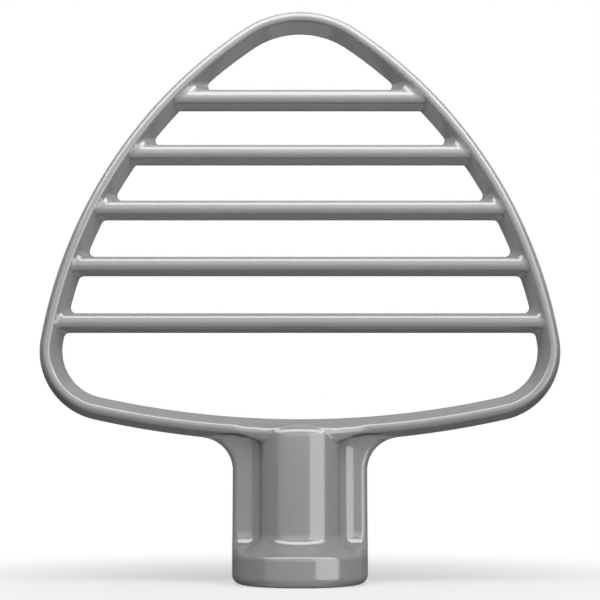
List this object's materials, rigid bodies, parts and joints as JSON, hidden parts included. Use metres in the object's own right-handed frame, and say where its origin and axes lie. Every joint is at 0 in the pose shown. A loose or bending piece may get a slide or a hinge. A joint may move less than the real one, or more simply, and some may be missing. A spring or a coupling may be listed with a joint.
{
  "type": "stand mixer pastry beater",
  "caption": "Cast pastry beater for a tilt-head stand mixer: rounded triangular rim crossed by straight blade bars, on a bored hub with a bayonet slot.",
  "frame": {"origin": "centre of the hub's flat end, on the shaft's axis, at the bore's mouth", "axes": "+Z along the shaft's axis from the hub's open end to the rim's crown, X across the frame along the bars, -Y towards the viewer of the picture, +Y towards the slot"},
  "size_m": [0.1396, 0.0354, 0.1551],
  "materials": {
    "grey_coating": "smooth grey burnished coating on cast aluminium, gently glossy"
  },
  "bodies": {
    "root": {"pastry_beater": "grey_coating"}
  },
  "joints": []
}
